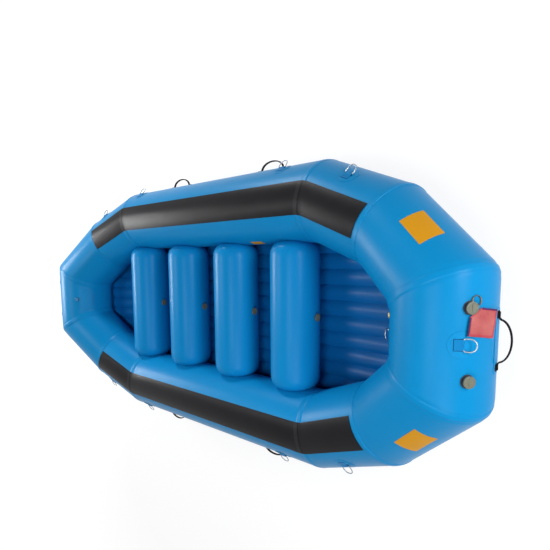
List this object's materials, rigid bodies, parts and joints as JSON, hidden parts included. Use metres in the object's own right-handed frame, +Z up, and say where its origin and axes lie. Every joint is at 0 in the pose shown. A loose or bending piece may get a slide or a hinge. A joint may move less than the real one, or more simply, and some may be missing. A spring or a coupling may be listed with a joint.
{
  "type": "whitewater raft",
  "caption": "Inflatable whitewater raft with a kicked-up perimeter tube in chambers, cross thwarts, laced beam floor, steel rings, grab handles and filling valves.",
  "frame": {"origin": "on the ground, under the middle of the raft's bounding box", "axes": "+X toward the bow, +Y to port, +Z up"},
  "size_m": [4.4702, 2.1, 0.6995],
  "materials": {
    "tube_fabric": "smooth coated fabric, glossy royal blue",
    "floor_fabric": "coated fabric, darker blue, satin",
    "patch_fabric": "coated patch fabric and webbing, blue, satin",
    "baffle_fabric": "uncoated grey fabric",
    "wear_strip": "textured black sheet, satin",
    "handle_webbing": "black webbing, matte",
    "ring_steel": "polished stainless rod",
    "valve_collar": "moulded near-black plastic",
    "valve_cap": "moulded grey-brown plastic, satin",
    "relief_valve": "dull brass",
    "tag_film": "soft red film sleeve, blank"
  },
  "bodies": {
    "raft": {"baffle_bow": "baffle_fabric", "baffle_port": "baffle_fabric", "baffle_starboard": "baffle_fabric", "baffle_stern": "baffle_fabric", "chamber_bow_port": "tube_fabric", "chamber_bow_starboard": "tube_fabric", "chamber_stern_port": "tube_fabric", "chamber_stern_starboard": "tube_fabric", "floor": "floor_fabric", "handle_bow": "handle_webbing", "handle_port_bow": "handle_webbing", "handle_port_stern": "handle_webbing", "handle_starboard_bow": "handle_webbing", "handle_starboard_stern": "handle_webbing", "handle_stern": "handle_webbing", "relief_valve_bow": "relief_valve", "relief_valve_stern": "relief_valve", "ring_patch_bow_inner": "patch_fabric", "ring_patch_bow_top": "patch_fabric", "ring_patch_port_kick_bow": "patch_fabric", "ring_patch_port_kick_stern": "patch_fabric", "ring_patch_port_main_bow": "patch_fabric", "ring_patch_port_main_stern": "patch_fabric", "ring_patch_starboard_kick_bow": "patch_fabric", "ring_patch_starboard_kick_stern": "patch_fabric", "ring_patch_starboard_main_bow": "patch_fabric", "ring_patch_starboard_main_stern": "patch_fabric", "stern_patch": "patch_fabric", "thwart_1": "tube_fabric", "thwart_2": "tube_fabric", "thwart_3": "tube_fabric", "thwart_4": "tube_fabric", "valve_body_bow_port": "valve_collar", "valve_body_bow_starboard": "valve_collar", "valve_body_stern_port": "valve_collar", "valve_body_stern_starboard": "valve_collar", "wear_strip_bow_port": "wear_strip", "wear_strip_bow_starboard": "wear_strip", "wear_strip_stern_port": "wear_strip", "wear_strip_stern_starboard": "wear_strip"},
    "ring_bow_inner": {"ring_bow_inner": "ring_steel"},
    "ring_bow_top": {"ring_bow_top": "ring_steel"},
    "ring_port_kick_bow": {"ring_port_kick_bow": "ring_steel"},
    "ring_port_kick_stern": {"ring_port_kick_stern": "ring_steel"},
    "ring_port_main_bow": {"ring_port_main_bow": "ring_steel"},
    "ring_port_main_stern": {"ring_port_main_stern": "ring_steel"},
    "ring_starboard_kick_bow": {"ring_starboard_kick_bow": "ring_steel"},
    "ring_starboard_kick_stern": {"ring_starboard_kick_stern": "ring_steel"},
    "ring_starboard_main_bow": {"ring_starboard_main_bow": "ring_steel"},
    "ring_starboard_main_stern": {"ring_starboard_main_stern": "ring_steel"},
    "split_ring": {"split_ring": "ring_steel"},
    "tag": {"tag": "tag_film"},
    "thwart_cap_1": {"thwart_cap_1": "valve_cap"},
    "thwart_cap_2": {"thwart_cap_2": "valve_cap"},
    "thwart_cap_3": {"thwart_cap_3": "valve_cap"},
    "thwart_cap_4": {"thwart_cap_4": "valve_cap"},
    "valve_cap_bow_port": {"valve_cap_bow_port": "valve_cap"},
    "valve_cap_bow_starboard": {"valve_cap_bow_starboard": "valve_cap"},
    "valve_cap_stern_port": {"valve_cap_stern_port": "valve_cap"},
    "valve_cap_stern_starboard": {"valve_cap_stern_starboard": "valve_cap"}
  },
  "joints": [
    {"name": "ring_bow_inner_swing", "type": "hinge", "parent": "raft", "child": "ring_bow_inner", "pos_m": [1.67719, -0.01, 0.53179], "axis": [0, 1, 0], "range_deg": [-35, 150]},
    {"name": "ring_bow_top_swing", "type": "hinge", "parent": "raft", "child": "ring_bow_top", "pos_m": [2.10631, 0, 0.6281], "axis": [0, -1, 0], "range_deg": [-35, 150]},
    {"name": "ring_port_kick_bow_swing", "type": "hinge", "parent": "raft", "child": "ring_port_kick_bow", "pos_m": [1.34185, 0.85121, 0.4265], "axis": [0.9296, -0.3463, 0.1259], "range_deg": [-35, 150]},
    {"name": "ring_port_kick_stern_swing", "type": "hinge", "parent": "raft", "child": "ring_port_kick_stern", "pos_m": [-1.44783, 0.81173, 0.44086], "axis": [0.9296, 0.3463, -0.1259], "range_deg": [-35, 150]},
    {"name": "ring_port_main_bow_swing", "type": "hinge", "parent": "raft", "child": "ring_port_main_bow", "pos_m": [0.778, 0.964, 0.36492], "axis": [1, 0, 0], "range_deg": [-35, 150]},
    {"name": "ring_port_main_stern_swing", "type": "hinge", "parent": "raft", "child": "ring_port_main_stern", "pos_m": [-0.915, 0.964, 0.36492], "axis": [1, 0, 0], "range_deg": [-35, 150]},
    {"name": "ring_starboard_kick_bow_swing", "type": "hinge", "parent": "raft", "child": "ring_starboard_kick_bow", "pos_m": [1.34185, -0.85121, 0.4265], "axis": [-0.9296, -0.3463, -0.1259], "range_deg": [-35, 150]},
    {"name": "ring_starboard_kick_stern_swing", "type": "hinge", "parent": "raft", "child": "ring_starboard_kick_stern", "pos_m": [-1.44783, -0.81173, 0.44086], "axis": [-0.9296, 0.3463, 0.1259], "range_deg": [-35, 150]},
    {"name": "ring_starboard_main_bow_swing", "type": "hinge", "parent": "raft", "child": "ring_starboard_main_bow", "pos_m": [0.778, -0.964, 0.36492], "axis": [-1, 0, 0], "range_deg": [-35, 150]},
    {"name": "ring_starboard_main_stern_swing", "type": "hinge", "parent": "raft", "child": "ring_starboard_main_stern", "pos_m": [-0.915, -0.964, 0.36492], "axis": [-1, 0, 0], "range_deg": [-35, 150]},
    {"name": "split_ring_turn", "type": "hinge", "parent": "raft", "child": "split_ring", "pos_m": [2.13867, 0.19619, 0.58453], "axis": [0.8558, 0.1555, 0.4934], "range_deg": [-180, 180]},
    {"name": "tag_swing", "type": "hinge", "parent": "raft", "child": "tag", "pos_m": [2.14782, 0.17886, 0.57412], "axis": [-0.3124, -0.6051, 0.7324], "range_deg": [0, 40]},
    {"name": "thwart_cap_1_turn", "type": "hinge", "parent": "raft", "child": "thwart_cap_1", "pos_m": [-0.81825, 0, 0.24153], "axis": [0.9925, 0, -0.1219], "range_deg": [0, 90]},
    {"name": "thwart_cap_2_turn", "type": "hinge", "parent": "raft", "child": "thwart_cap_2", "pos_m": [-0.22425, 0, 0.24153], "axis": [0.9925, 0, -0.1219], "range_deg": [0, 90]},
    {"name": "thwart_cap_3_turn", "type": "hinge", "parent": "raft", "child": "thwart_cap_3", "pos_m": [0.36975, 0, 0.24153], "axis": [0.9925, 0, -0.1219], "range_deg": [0, 90]},
    {"name": "thwart_cap_4_turn", "type": "hinge", "parent": "raft", "child": "thwart_cap_4", "pos_m": [0.96375, 0, 0.24153], "axis": [0.9925, 0, -0.1219], "range_deg": [0, 90]},
    {"name": "valve_cap_bow_port_turn", "type": "hinge", "parent": "raft", "child": "valve_cap_bow_port", "pos_m": [2.118, 0.165, 0.60354], "axis": [0.788, 0, 0.6157], "range_deg": [0, 90]},
    {"name": "valve_cap_bow_starboard_turn", "type": "hinge", "parent": "raft", "child": "valve_cap_bow_starboard", "pos_m": [2.118, -0.165, 0.60354], "axis": [0.788, 0, 0.6157], "range_deg": [0, 90]},
    {"name": "valve_cap_stern_port_turn", "type": "hinge", "parent": "raft", "child": "valve_cap_stern_port", "pos_m": [-2.118, 0.165, 0.60354], "axis": [-0.788, 0, 0.6157], "range_deg": [0, 90]},
    {"name": "valve_cap_stern_starboard_turn", "type": "hinge", "parent": "raft", "child": "valve_cap_stern_starboard", "pos_m": [-2.118, -0.165, 0.60354], "axis": [-0.788, 0, 0.6157], "range_deg": [0, 90]}
  ]
}
